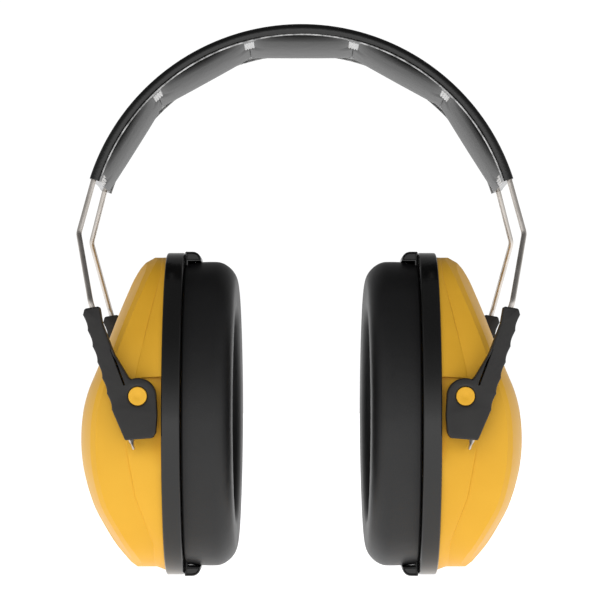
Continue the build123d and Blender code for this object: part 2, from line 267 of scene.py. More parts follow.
def face_depth(y, z, share, turn):
    """How far out the bowl's face lies: the middle plane's depth, less a drop by the cube of share.

    share is the way from the face's middle out to its bevel.
    """
    edge_y = cut(shell_step, shell_flat, turn)[0] ** 2
    drop = face_drop * edge_y / (edge_y + face_drop_fade**2) * share**3
    return curve_through(depth_knots, z - pivot[2]) - drop


def bowl():
    """The bowl's outer surface: rows from inside the ring out to the middle of the domed face.

    Each row is the cup's oval, cut off at the flat sides. The wall flares from the flat to the
    ring inside a ridge, where it steps down to the flat, and a bevel leads round to the face.
    """
    step_turn = math.acos((recess_high + pivot[2] - oval_z) / recess_r)
    steps = [way * (step_turn + off) % (2 * math.pi)
             for off in (-recess_turn, recess_turn) for way in (1, -1)]
    turn = np.sort(np.concatenate([turns(300), steps]))
    drawn = shell_step + low_draw * np.clip(-np.cos(turn), 0, 1) + side_draw * np.sin(turn) ** 2

    rim_y, rim_z = oval(shell_step, turn)
    height = rim_z - pivot[2]
    fade = np.clip((height - recess_fade[0]) / (recess_fade[1] - recess_fade[0]), 0, 1)
    fade = np.where(height < recess_high, fade * fade * (3 - 2 * fade), 0)
    rim_flat_y = rim_y + (np.clip(rim_y, -shell_flat, shell_flat) - rim_y) * fade
    wall_y, wall_z = cut(drawn + wall_draft, shell_flat, turn)
    flare = np.interp(height, *np.array(flare_knots).T)
    border = face_depth(wall_y, wall_z, 1.0, turn) - bevel_width
    flare = np.minimum(flare, border - flare_clear)
    bevel_y, bevel_z = cut(drawn + bevel_width, shell_flat - bevel_width, turn)
    crest = face_depth(bevel_y, bevel_z, 1.0, turn)
    beside_arm = np.clip((np.abs(height - arm_middle) - arm_half) / arm_fade, arm_share, 1)
    proud = ridge_step * beside_arm * np.clip(np.abs(wall_y) / ridge_fade, 0, 1)
    proud_y = wall_y + np.sign(wall_y) * proud

    rows = [(-skirt_reach, *oval(shell_step + skirt_step, turn)), (-0.2, rim_y, rim_z), (0.1, rim_y, rim_z),
            (seat, rim_flat_y, rim_z)]
    for share in (0.25, 0.5, 0.75, 0.97, 1.0):
        rows.append((seat + (flare - seat) * share,
                     rim_flat_y + (proud_y - rim_flat_y) * share, rim_z + (wall_z - rim_z) * share))
    for share in (0, 0.06, 0.2, 0.4, 0.7, 0.95, 1.0):
        rows.append((flare + ridge_width + (border - flare - ridge_width) * share, wall_y, wall_z))
    for share in (0.06, 0.5, 0.94, 1.0):
        rows.append((border + (crest - border) * share,
                     wall_y + (bevel_y - wall_y) * share, wall_z + (bevel_z - wall_z) * share))
    for share in 1 - np.linspace(0.02, 1, 22) ** 1.2:
        y, z = bevel_y * share, face_middle + (bevel_z - face_middle) * share
        rows.append((face_depth(y, z, share, turn), y, z))
    return np.stack([np.stack([ring_x + out + 0 * y, y, z], -1) for out, y, z in rows])


def turned(profile, centre, way, count=48):
    """A turned shape about a line along Y: profile is (radius, distance along way) from end to end."""
    angle = np.linspace(0, 2 * math.pi, count, endpoint=False)
    r, along = np.array(profile, float).T
    x = centre[0] + r[:, None] * np.cos(angle)
    z = centre[2] + r[:, None] * np.sin(angle)
    y = centre[1] + way * along[:, None] + 0 * angle
    return np.stack([x, y, z], -1)


arm_inner, arm_outer = (np.array(c)[1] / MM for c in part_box("right_rear_arm"))
pin_r = 3.0
pin_profile = [(0, shell_flat - 1), (pin_r, shell_flat - 1), (pin_r, arm_outer - 0.4),
               (pin_r - 0.05, arm_outer - 0.12), (pin_r - 0.2, arm_outer),
               (1.1, arm_outer), (0.95, arm_outer - 0.08), (0, arm_outer - 0.1)]
sides = (("left", -1), ("right", 1))
for side, sign in sides:
    shell = piece(side + "_cup", [bowl()], yellow_abs, sign, sharp=22)
    wall = shell.modifiers.new("wall", "SOLIDIFY")
    wall.thickness = shell_wall * MM
    wall.offset = -1
    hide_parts(side + "_cup_shell")
    pins = piece(side + "_pivot_pins",
                 [turned(pin_profile, (pivot[0], 0, pivot[2]), way) for way in (-1, 1)], yellow_abs, sign)
    for made in (shell, pins):
        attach(made, side + "_cup")

# Seal rings. A glossy black ABS hoop snaps over each bowl's skirt and clamps the cushion's plate
# with an inner flange. Its outer corners are rounded by the mould.

# Gloss black ABS: a sharp sheen that wavers where the moulding sank a little.
gloss_black, tree, surface, place = finish_of(
    "moulded_gloss_black_abs", Base_Color=hex_colour("0C0C0C"), Roughness=0.2, IOR=1.5)
ripple = add(tree, "ShaderNodeTexNoise", Vector=place, Scale=60.0, Detail=1.0).outputs[0]
sink = add(tree, "ShaderNodeBump", Height=ripple, Strength=0.08, Distance=0.3 * MM)
tree.links.new(sink.outputs[0], surface.inputs["Normal"])
polish = add(tree, "ShaderNodeMapRange", Value=ripple, To_Min=0.16, To_Max=0.26)
tree.links.new(polish.outputs[0], surface.inputs["Roughness"])


def rounded(corners, radii, closed=True, steps=6):
    """A line through corners, in two or three dimensions, with a circular arc of its radius at each.

    The arc touches both sides of its corner. Points on it turn evenly from one touching point to
    the other about the arc's centre. An open line keeps its two ends.
    """
    corners = np.array(corners, float)
    count = len(corners)
    radii = np.broadcast_to(radii, count)
    line = [] if closed else [corners[:1]]
    for i in range(0, count) if closed else range(1, count - 1):
        here = corners[i]
        back = corners[i - 1] - here
        ahead = corners[(i + 1) % count] - here
        back, ahead = back / np.linalg.norm(back), ahead / np.linalg.norm(ahead)
        half = math.acos(max(-1.0, min(1.0, float(back @ ahead)))) / 2
        if radii[i] <= 0 or half > math.radians(89.5):
            line.append(here[None])
            continue
        centre = here + (back + ahead) / np.linalg.norm(back + ahead) * radii[i] / math.sin(half)
        first = here + back * radii[i] / math.tan(half) - centre
        last = here + ahead * radii[i] / math.tan(half) - centre
        sweep = math.pi - 2 * half
        t = np.linspace(0, 1, steps)[:, None]
        line.append(centre + (np.sin((1 - t) * sweep) * first + np.sin(t * sweep) * last) / math.sin(sweep))
    if not closed:
        line.append(corners[-1:])
    return np.concatenate(line)


def hoop(profile, turn):
    """A profile of (inset, X) points, closed on itself, carried round the cup's oval."""
    rows = []
    for inset, x in np.vstack([profile, profile[:1]]):
        y, z = oval(inset, turn)
        rows.append(np.stack([x + 0 * y, y, z], -1))
    return np.stack(rows)


ring_wall, flange_thickness, flange_reach = 2.4, 1.1, 8.0
ring_profile = rounded(
    [(0, ring_low[0]), (0, ring_x), (ring_wall, ring_x), (ring_wall, ring_low[0] + flange_thickness),
     (flange_reach, ring_low[0] + flange_thickness), (flange_reach, ring_low[0])],
    [0.8, 0.6, 0.3, 0.3, 0.3, 0.3])
for side, sign in sides:
    ring = piece(side + "_ring", [hoop(ring_profile, turns(260))], gloss_black, sign, sharp=60)
    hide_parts(side + "_seal_ring")
    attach(ring, side + "_cup")

# Cushion plates. A stiff black plate backs each cushion, and a finger tab curls out of it above
# and below, so that the worn cushion can be pulled off and changed.

plate_low, plate_high = (np.array(corner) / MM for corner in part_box("right_cushion_plate"))
plate_x = plate_high[0]
plate_thickness = 1.0
tab_half_width = 8.0
tab_gap = 0.3             # between a tab's lip and the cushion's outside
tab_root = 2.5            # how far a tab laps in over the plate
tab_crest_r = 2.9
cushion_inset = 3.5
plate_rim, plate_hole = 5.0, 20.0              # the plate's outer edge and its opening, in from the ring's


def slab(loops, levels, place_at):
    """A slab with holes and softened edges, as grids and caps.

    loops are (closed outline, share of the softening), the first one anticlockwise and the holes
    clockwise. Each level is (height, how far the outline is drawn in there), and a corner moves
    square to both of its sides. place_at turns two outline coordinates and a height into XYZ.
    """
    grids, ends = [], ([], [])
    for outline, share in loops:
        along = np.roll(outline, -1, 0) - outline
        along /= np.linalg.norm(along, axis=1)[:, None]
        inward = np.stack([-along[:, 1], along[:, 0]], 1)
        before = np.roll(inward, 1, 0)
        meet = (inward + before) / np.maximum(1 + (inward * before).sum(1), 0.4)[:, None]
        rows = [place_at(*(outline + meet * drawn * share).T, height) for height, drawn in levels]
        grids.append(np.stack(rows))
        for end, row, (_, drawn) in zip(ends, (rows[0], rows[-1]), (levels[0], levels[-1])):
            end.append((row, outline + meet * drawn * share))
    caps = []
    for end in ends:
        flat = [[(u, v, 0) for u, v in outline] for _, outline in end]
        caps.append((np.concatenate([row for row, _ in end]), tessellate_polygon(flat)))
    return grids, caps


def tab_outline(way):
    """X and Z round a finger tab: a wedge from the ring's crest down to its lip beside the cushion."""
    foot = oval_half_height - cushion_inset + tab_gap
    tip = plate_low[0]
    inner_x = plate_x - plate_thickness
    corners = [(inner_x, foot - tab_root), (plate_x, foot - tab_root), (plate_x, oval_half_height),
               (tip, oval_half_height), (tip, foot), (inner_x, foot)]
    outline = rounded(corners, [0, 0, 0.4, tab_crest_r, 0.2, 0], steps=10)
    outline = np.stack([outline[:, 0], oval_z + way * outline[:, 1]], 1)
    return outline if signed_area(outline) > 0 else outline[::-1]


def signed_area(outline):
    """The area inside a closed outline, positive if it runs anticlockwise."""
    ahead = np.roll(outline, -1, 0)
    return (outline[:, 0] * ahead[:, 1] - ahead[:, 0] * outline[:, 1]).sum() / 2


plate_profile = rounded([(plate_rim, plate_x - plate_thickness), (plate_rim, plate_x), (plate_hole, plate_x),
                         (plate_hole, plate_x - plate_thickness)], 0.3)
# From a tab's end inwards: its recessed face, the rounded rim round that, and its full outline.
tab_end = [(1.4, 0.75), (0.25, 0.7), (0, 0.45), (0.1, 0.12), (0.4, 0)]
tab_levels = [(from_end - tab_half_width, drawn) for from_end, drawn in tab_end]
tab_levels += [(tab_half_width - from_end, drawn) for from_end, drawn in tab_end[::-1]]
for side, sign in sides:
    grids, caps = [hoop(plate_profile, turns(160))], []
    for way in (-1, 1):
        more = slab([(tab_outline(way), 1)], tab_levels, lambda x, z, y: np.stack([x, y + 0 * x, z], -1))
        grids, caps = grids + more[0], caps + more[1]
    plate = piece(side + "_plate", grids, gloss_black, sign, caps=caps, sharp=40)
    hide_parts(side + "_cushion_plate")
    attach(plate, side + "_cup")

# Foam liners. A pillow of dark open-cell foam fills the bottom of each bowl and soaks up what
# sound gets through. It is pushed in by hand and shows through the cushion's opening.

foam_x = np.array(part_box("right_acoustic_liner")[0])[0] / MM
foam_set_back = 1.0       # of the foam's swollen front from its solid's flat front
foam_puff = 1.6
foam_gap = 0.8            # between the foam's back and the bowl's inside
foam_rim = 3.0            # the foam ends where it has this much room
foam_rim_r = 1.3
foam_lump = 0.3

# Open-cell foam: dead matt, with a net of dark pores.
foam, tree, surface, place = finish_of("open_cell_foam", Roughness=0.95, IOR=1.45)
cells = add(tree, "ShaderNodeTexVoronoi", {"feature": "F1"}, Vector=place, Scale=1 / (1.6 * MM)).outputs[0]
tree.links.new(ramp(tree, cells, [(0.1, "17181A"), (0.6, "3A3C40")]), surface.inputs["Base Color"])
pores = add(tree, "ShaderNodeBump", Height=cells, Strength=0.7, Distance=0.6 * MM)
tree.links.new(pores.outputs[0], surface.inputs["Normal"])


def liner_foam(turn):
    """Foam pushed down into the bowl: a swollen lumpy front, a round rim, and a back that follows the bowl.

    Its rim lies where the room between its front and the bowl's inside shrinks to three millimetres.
    """
    front = foam_x + foam_set_back - ring_x
    skin = bevel_width + shell_wall
    edge_y, edge_z = cut(shell_step + side_draw + skin, shell_flat - skin, turn)
    rise = edge_z - face_middle

    def back(way):
        """How far out the foam's back lies at this share of the way to the edge."""
        return face_depth(edge_y * way, face_middle + rise * way, way, turn) - shell_wall - foam_gap

    reach = np.linspace(0, 1, 400)[:, None]
    rim = (reach * (back(reach) - front > foam_rim)).max(0)
    rim = np.mean([np.roll(rim, k) for k in range(-6, 7)], axis=0) - 0.02
    rows = []
    for share in np.linspace(0, 0.95, 24):
        lump = foam_lump * np.sin(0.55 * edge_y * share) * np.cos(0.42 * rise * share + 1)
        rows.append((share, front - foam_puff * (1 - share**4) + lump * (1 - share**2)))
    for a in np.linspace(-0.4 * math.pi, 0.4 * math.pi, 8):
        rows.append((0.95 + 0.05 * math.cos(a), front + foam_rim_r * (1 + math.sin(a))))
    for share in np.linspace(0.9, 0, 12):
        rows.append((share, back(share * rim)))
    y, z = edge_y * rim, rise * rim
    return np.stack([np.stack([ring_x + out + 0 * y, y * share, face_middle + z * share], -1)
                     for share, out in rows])


for side, sign in sides:
    liner = piece(side + "_foam_liner", [liner_foam(turns(200))], foam, sign, sharp=80)
    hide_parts(side + "_acoustic_liner")
    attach(liner, side + "_cup")

# Ear cushions. A welded cover of soft black leatherette is drawn over a ring of slow foam, so it
# is full and smooth, a little crowned on its face, and rolls over tightly at its inner edge.

cushion_back = np.array(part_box("right_cushion_cover")[1])[0] / MM
cushion_depth = 16.0
cushion_wedge = math.tan(math.radians(2.1))    # the face turns: it is deeper at the back of the ear
cushion_band = 17.2
cushion_outer_r, cushion_inner_r = 6.5, 4.0
cushion_crown = 0.5
cushion_swell = 0.45
cushion_hem, cushion_hem_width = 1.0, 1.4      # the cover's hem wraps round the plate's edge

# Calendered PVC leatherette: a low sheen over pebble grain, pulled slightly uneven by the foam.
leatherette, tree, surface, place = finish_of(
    "calendered_leatherette", Base_Color=hex_colour("101011"), Roughness=0.46, IOR=1.46)
hide = add(tree, "ShaderNodeTexVoronoi", {"feature": "DISTANCE_TO_EDGE"}, Vector=place,
           Scale=1 / (0.9 * MM)).outputs[0]
pebble = add(tree, "ShaderNodeMapRange", Value=hide, From_Max=0.25)
soft = add(tree, "ShaderNodeTexNoise", Vector=place, Scale=90.0, Detail=2.0).outputs[0]
drape = add(tree, "ShaderNodeBump", Height=soft, Strength=0.25, Distance=0.6 * MM)
skin = add(tree, "ShaderNodeBump", Height=pebble.outputs[0], Strength=0.12, Distance=0.12 * MM,
           Normal=drape.outputs[0])
tree.links.new(skin.outputs[0], surface.inputs["Normal"])
sheen = add(tree, "ShaderNodeMapRange", Value=soft, To_Min=0.4, To_Max=0.52)
tree.links.new(sheen.outputs[0], surface.inputs["Roughness"])


def cushion(turn):
    """The cushion's rounded profile carried round the oval.

    Its walls swell and its face crowns by a parabola, and its depth changes evenly with Y.
    """
    outer, inner = cushion_inset, cushion_inset + cushion_band
    hem = outer + cushion_hem_width
    profile = rounded([(outer, -cushion_hem), (outer, cushion_depth), (inner, cushion_depth), (inner, 0),
                       (hem, 0), (hem, -cushion_hem)],
                      [0.4, cushion_outer_r, cushion_inner_r, 1.0, 0, 0.3], steps=14)
    fine = np.vstack([profile, profile[:1]])
    run = np.concatenate([[0], np.cumsum(np.linalg.norm(np.diff(fine, axis=0), axis=1))])
    even = np.linspace(0, run[-1], 121)
    inset, depth = np.interp(even, run, fine[:, 0]), np.interp(even, run, fine[:, 1])
    middle = (outer + inner) / 2
    across = (inset - middle) / (cushion_band / 2)
    up = np.clip(depth / cushion_depth, 0, None)
    inset = inset + cushion_swell * np.sign(across) * np.abs(across) ** 3 * 4 * up * (1 - up)
    depth = depth + cushion_crown * (1 - across**2) * up**2
    rows = []
    for i, d in zip(inset, depth):
        y, z = oval(i, turn)
        rows.append(np.stack([cushion_back - d * (1 + cushion_wedge * y / cushion_depth), y, z], -1))
    return np.stack(rows)


for side, sign in sides:
    pad = piece(side + "_ear_cushion", [cushion(turns(280))], leatherette, sign, sharp=70)
    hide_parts(side + "_cushion_cover", side + "_cushion_foam")
    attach(pad, side + "_cup")

# Arms. Four flat arms of black glass-filled nylon slide on the ends of the wires, and each pair
# holds a cup by its pins. Thumb ridges run down the outer edge, and a slit beside the strut lets
# the pin's eye spring open when the cup is snapped in.

ridge_top, ridge_end = np.array([17.7, 26.2]), np.array([8.3, -4.3])
ridge_count = 7
ridge_depth = 0.38
hub_r = 5.85
eye_gap = 0.05            # round the pin

# Glass-filled nylon straight from the mould: matt, with a faint tooth and cloudy blacks.
nylon, tree, surface, place = finish_of("moulded_matt_nylon", Roughness=0.62, IOR=1.52)
fibre = add(tree, "ShaderNodeTexNoise", Vector=place, Scale=1 / (0.7 * MM), Detail=4.0).outputs[0]
cloud = add(tree, "ShaderNodeTexNoise", Vector=place, Scale=120.0, Detail=2.0).outputs[0]
tree.links.new(ramp(tree, cloud, [(0.3, "151313"), (0.7, "1B1A19")]), surface.inputs["Base Color"])
tooth = add(tree, "ShaderNodeBump", Height=fibre, Strength=0.25, Distance=0.12 * MM)
tree.links.new(tooth.outputs[0], surface.inputs["Normal"])


def arm_outline():
    """The arm's outline about its pivot, outwards and upwards, in millimetres.

    The grip edge is a run of shallow scallops, and the hub an arc about the pivot.
    """
    t = np.linspace(0, 1, 8 * (ridge_count - 1) + 1)
    phase = t * (ridge_count - 1) % 1.0
    along = (ridge_end - ridge_top) / np.linalg.norm(ridge_end - ridge_top)
    inward = np.array([along[1], -along[0]])
    grip = ridge_top + t[:, None] * (ridge_end - ridge_top)
    grip = grip + inward * (ridge_depth * 4 * phase * (1 - phase) * (0.6 + 0.8 * phase))[:, None]
    foot = rounded([(8.3, -4.3), (4.0, -14.2), (-4.8, -13.5), (-5.8, -11.8), (-6.2, -6.0), (-5.8, 0)],
                   [0, 0.6, 0.9, 0.8, 3, 0], closed=False)[1:-1]
    a = np.radians(np.linspace(172, 68, 14))
    hub = hub_r * np.stack([np.cos(a), np.sin(a)], 1)
    strut = rounded([hub[-1], (3.0, 6.1), (7.7, 13.8), (11.5, 23.7), (12.4, 29.0), (17.2, 28.2),
                     ridge_top], [0, 1.2, 5, 4, 0.7, 0.9, 0], closed=False)[1:-1]
    outline = np.vstack([grip, foot, hub, strut])
    return outline if signed_area(outline) > 0 else outline[::-1]


def ring_of(r, count):
    """A clockwise circle about the pivot."""
    a = np.linspace(0, -2 * math.pi, count, endpoint=False)
    return r * np.stack([np.cos(a), np.sin(a)], 1)


slit_top, slit_end, slit_half = np.array([8.6, 15.0]), np.array([4.3, 3.6]), 0.22
way = (slit_top - slit_end) / np.linalg.norm(slit_top - slit_end)
beside = np.array([-way[1], way[0]]) * slit_half
slit = np.stack([slit_end - beside, slit_end + beside, slit_top + beside, slit_top - beside])
slit = slit if signed_area(slit) < 0 else slit[::-1]
arm_loops = [(arm_outline(), 1.0), (ring_of(pin_r + eye_gap, 48), 1.5), (slit, 0.25)]
thick = arm_outer - arm_inner
arm_levels = [(0, 0.35), (0.1, 0.12), (0.35, 0), (thick - 0.6, 0), (thick - 0.3, 0.08), (thick - 0.1, 0.28),
              (thick, 0.55)]
for side, sign in sides:
    for row, way in (("front", -1), ("rear", 1)):
        grids, caps = slab(arm_loops, arm_levels, lambda u, v, out: np.stack(
            [pivot[0] + u, way * (arm_inner + out) + 0 * u, pivot[2] + v], -1))
        arm = piece(f"{side}_{row}_grip_arm", grids, nylon, sign, caps=caps, sharp=50)
        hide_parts(f"{side}_{row}_arm")
        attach(arm, f"{side}_{row}_slider")

# Wires. Two hoops of drawn stainless spring wire, 1.8 mm thick, run through the cover's edges.
# They are bent outwards at its ends and down again to straight legs, whose tips are flattened
# so that an arm can't slide off.

hinge = np.array(next(j for j in frame["joints"] if j["name"] == "right_spread")["pos_m"]) / MM
pad_angle = 29.0          # degrees of arch for each of the five pads
arch_r = hinge[0] / math.sin(math.radians(1.5 * pad_angle))      # at the wires' middle
arch_z = hinge[2] - arch_r * math.cos(math.radians(1.5 * pad_angle))
band_end = 72.5           # the cover ends this many degrees from the crown
wire_r = 0.9
wire_y, leg_y = 22.0, (arm_inner + arm_outer) / 2
lean = math.radians(16.5)
leg_offset = 6.4
leg_below = 14.6
tip_run = np.array([[0.6], [1.2], [2.3], [2.6]])      # below the leg, where the wire is flattened
tip_wide, tip_thin = (1.3, 1.6, 1.6, 1.3), (0.65, 0.5, 0.5, 0.4)
exit_run, shoulder_r = 3.2, 5.0
knee_x, knee_y, knee_rise, knee_r = 73.6, 24.0, 53.7, 3.5       # where it turns out sideways and in
entry_rise, entry_r = 30.6, 3.5                # the bend into the leg, over the arm

# Drawn stainless spring steel: a soft grey shine, duller in streaks from the die.
steel, tree, surface, place = finish_of("drawn_spring_steel", Metallic=1.0, Roughness=0.3)
drawn = add(tree, "ShaderNodeTexNoise", Vector=place, Scale=140.0, Detail=2.0, Roughness=0.4).outputs[0]
tree.links.new(ramp(tree, drawn, [(0.3, "C0BAB3"), (0.7, "D2CCC6")]), surface.inputs["Base Color"])
dull = add(tree, "ShaderNodeMapRange", Value=drawn, To_Min=0.36, To_Max=0.46)
tree.links.new(dull.outputs[0], surface.inputs["Roughness"])


def on_arch(radius, degrees):
    """X and Z at this radius and these degrees from the crown."""
    a = np.radians(degrees)
    return np.stack([radius * np.sin(a), arch_z + radius * np.cos(a)], -1)


def wire_line(row):
    """The middle line of one wire from the crown to its tip at +X."""
    end = band_end - math.degrees(exit_run / arch_r)
    arch = on_arch(arch_r, np.linspace(0, end, 48))
    arch = np.insert(arch, 1, row * wire_y, axis=1)
    a = math.radians(end)
    out = arch[-1] + exit_run * np.array([math.cos(a), 0, -math.sin(a)])
    knee = np.array([knee_x, row * knee_y, pivot[2] + knee_rise])
    down = np.array([-math.tan(lean), 0, -1.0])
    foot = np.array([pivot[0] + leg_offset, row * leg_y, pivot[2]])
    bent = rounded([arch[-1], out, knee, foot - entry_rise * down, foot + leg_below * down],
                   [0, shoulder_r, knee_r, entry_r, 0], closed=False, steps=16)
    return np.vstack([arch, bent[1:], foot + down * (leg_below + tip_run)])


def tube(line, across_y, across, count=20):
    """A bar along a line that stays near a plane of constant Y, with closed ends.

    Its section is an ellipse square to the line, with half sizes across_y along Y and across in the plane.
    """
    ahead = np.gradient(line, axis=0)
    ahead /= np.linalg.norm(ahead, axis=1)[:, None]
    side_way = np.cross(ahead, [0, 1, 0])
    side_way /= np.linalg.norm(side_way, axis=1)[:, None]
    up = np.cross(side_way, ahead)
    a = np.linspace(0, 2 * math.pi, count, endpoint=False)
    skin = (line[:, None] + across[:, None, None] * np.cos(a)[None, :, None] * side_way[:, None]
            + across_y[:, None, None] * np.sin(a)[None, :, None] * up[:, None])
    ends = [np.repeat(line[i][None, None], count, axis=1) for i in (0, -1)]
    return np.concatenate([ends[0], skin, ends[1]])


def bends(made):
    """Bakes the piece's placement into its mesh, so that it stays fixed where it is."""
    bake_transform(made)


for side, sign in sides:
    for row, way in (("front", -1), ("rear", 1)):
        line = wire_line(way)
        wide, thin = np.full((2, len(line)), wire_r)
        wide[-len(tip_run):], thin[-len(tip_run):] = tip_wide, tip_thin
        bar = piece(f"{side}_{row}_spring", [tube(line, wide, thin)], steel, sign)
        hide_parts(f"{row}_wire")
        bends(bar)

# Headband cover. A strip of glossy grained black vinyl, folded round both wires and welded to
# the lining along a thin seam, so that each edge is a firm round welt. The seam's bead is
# coloured pale grey as a painted highlight on the black weld.

cover_low_r, cover_top_r = 70.2, 73.6
band_half_width = 24.5
welt_r = (cover_top_r - cover_low_r) / 2
web_dip, web_fade = 0.55, 3.0                  # how far the web dips, and how near the welt it starts to
seam_r, seam_drop, seam_inset = 0.24, 0.12, 1.15

# Embossed PVC: deep black with a wet shine that its grain breaks up. The grain is drawn at 0.8 mm
# so that it shows.
vinyl, tree, surface, place = finish_of(
    "grained_gloss_vinyl", Base_Color=hex_colour("060606"), Roughness=0.2, IOR=1.5)
leather = add(tree, "ShaderNodeTexVoronoi", {"feature": "F1"}, Vector=place, Scale=1 / (0.8 * MM)).outputs[0]
stretch = add(tree, "ShaderNodeTexNoise", Vector=place, Scale=70.0, Detail=2.0).outputs[0]
wavy = add(tree, "ShaderNodeBump", Height=stretch, Strength=0.3, Distance=0.5 * MM)
pitted = add(tree, "ShaderNodeBump", Height=leather, Strength=0.22, Distance=0.15 * MM,
             Normal=wavy.outputs[0])
tree.links.new(pitted.outputs[0], surface.inputs["Normal"])
worn = add(tree, "ShaderNodeMapRange", Value=stretch, To_Min=0.12, To_Max=0.26)
tree.links.new(worn.outputs[0], surface.inputs["Roughness"])


def along_arch(profile, degrees):
    """A closed profile of (Y, radius) points carried along the arch, with flat closed ends."""
    rows = []
    for a in degrees:
        flat = on_arch(profile[:, 1], a)
        rows.append(np.stack([flat[:, 0], profile[:, 0], flat[:, 1]], -1))
    ends = [np.repeat(row.mean(0)[None], len(profile), axis=0) for row in (rows[0], rows[-1])]
    return np.stack([ends[0], *rows, ends[1]])


def cover_profile():
    """Y and radius round the cover: round welts at both edges, and a web that dips between them."""
    y = np.linspace(0, band_half_width - welt_r, 30)[:-1]
    top = cover_top_r - web_dip * (1 - np.exp(-((y - band_half_width + welt_r) / web_fade) ** 2))
    a = np.linspace(math.pi / 2, -math.pi / 2, 14)
    welt = np.stack([band_half_width - welt_r + welt_r * np.cos(a),
                     (cover_low_r + cover_top_r) / 2 + welt_r * np.sin(a)], 1)
    half = np.vstack([np.stack([y, top], 1), welt])
    return np.vstack([half, half[::-1][:-1] * [-1, 1]])


band_degrees = np.concatenate([np.linspace(0, band_end - 0.9, 70), [band_end - 0.3, band_end]])
seam_arch = on_arch(cover_low_r - seam_drop, band_degrees)
seam_lines = [np.insert(seam_arch, 1, way * (band_half_width - seam_inset), axis=1) for way in (-1, 1)]

# The welded bead of black PVC, coloured pale grey as a painted highlight, with painted glints
# that brighten and dim along it.
painted_highlight_seam, tree, surface, place = finish_of(
    "welded_seam_painted_highlight", Base_Color=hex_colour("9A9A9A"), Roughness=0.25, IOR=1.5)
# Painted glints: noise along the bead swings its grey between darker and paler.
bead = add(tree, "ShaderNodeTexNoise", Vector=place, Scale=400.0, Detail=2.0).outputs[0]
tree.links.new(ramp(tree, bead, [(0.35, "6E6E6E"), (0.65, "C2C2C2")]), surface.inputs["Base Color"])
for side, sign in sides:
    cover = piece(side + "_band_cover", [along_arch(cover_profile(), band_degrees)], vinyl, sign, sharp=45)
    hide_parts("headband_cover")
    bead_r = np.full(len(band_degrees), seam_r)
    beads = [tube(line, bead_r, bead_r, 8) for line in seam_lines]
    # The seam bead's pale grey is a painted highlight.
    seam = piece(side + "_band_seam_painted_highlight", beads, painted_highlight_seam, sign)
    for made in (cover, seam):
        bends(made)

# Headband pads. Five pockets of soft vinyl are welded over foam, flat underneath with rounded
# rims, and between them and at both ends lie narrow ribbed welds, pressed smooth and glossy. The
# welds are black vinyl, coloured pale grey as a painted reflection of the light off their gloss.

pad_flat_r = 67.1
pad_edge_r = 69.0         # the underside rises to here at the band's edges
pad_base_r = 70.3
land_r = 69.6             # underside of the welded lands
land_thickness = 0.8
rib_pitch, rib_height = 0.9, 0.12
weld_width = 3.5
end_lap = 0.4             # the weld at the cover's end runs this far in under the pad
pad_half_length = math.radians(pad_angle / 2) * pad_flat_r + 0.1     # neighbours press together
pad_half_width = 23.1
pad_corner = 3.0
pad_notch = 1.4           # the pads draw back this far from each other near the band's front edge
notch_y = (5.5, 9.5)      # where that starts, and where it is complete
notch_corner = 2.0
pad_rim = 4.5             # width of the rolled rim
rim_power, crown_power = 2.2, 2.5
pad_swell = 0.3
land_y = (8.5, 21.8)      # the welds lie in the notches between the pads

# Soft plasticised PVC: a dim broad sheen over fine grain and small slack creases.
pad_vinyl, tree, surface, place = finish_of(
    "soft_lining_vinyl", Base_Color=hex_colour("070707"), Roughness=0.38, IOR=1.45,
    Specular_IOR_Level=0.2)
crease = add(tree, "ShaderNodeTexNoise", Vector=place, Scale=160.0, Detail=3.0).outputs[0]
grained = add(tree, "ShaderNodeTexVoronoi", {"feature": "F1"}, Vector=place, Scale=1 / (0.7 * MM)).outputs[0]
slack = add(tree, "ShaderNodeBump", Height=crease, Strength=0.25, Distance=0.5 * MM)
dimples = add(tree, "ShaderNodeBump", Height=grained, Strength=0.15, Distance=0.12 * MM,
              Normal=slack.outputs[0])
tree.links.new(dimples.outputs[0], surface.inputs["Normal"])

# PVC melted and pressed under a ribbed tool: smooth and glossy black, coloured pale grey here
# as a painted reflection.
weld_painted_reflection, tree, surface, place = finish_of(
    "pressed_weld_painted_reflection", Base_Color=hex_colour("B4B4B4"), Roughness=0.3, IOR=1.5)
smear = add(tree, "ShaderNodeTexNoise", Vector=place, Scale=300.0, Detail=2.0).outputs[0]
melt = add(tree, "ShaderNodeBump", Height=smear, Strength=0.15, Distance=0.2 * MM)
tree.links.new(melt.outputs[0], surface.inputs["Normal"])


def evenly(outline, count):
    """A closed outline divided into steps of equal length."""
    loop = np.vstack([outline, outline[:1]])
    run = np.concatenate([[0], np.cumsum(np.linalg.norm(np.diff(loop, axis=0), axis=1))])
    at = np.linspace(0, run[-1], count, endpoint=False)
    return np.stack([np.interp(at, run, loop[:, k]) for k in (0, 1)], 1)


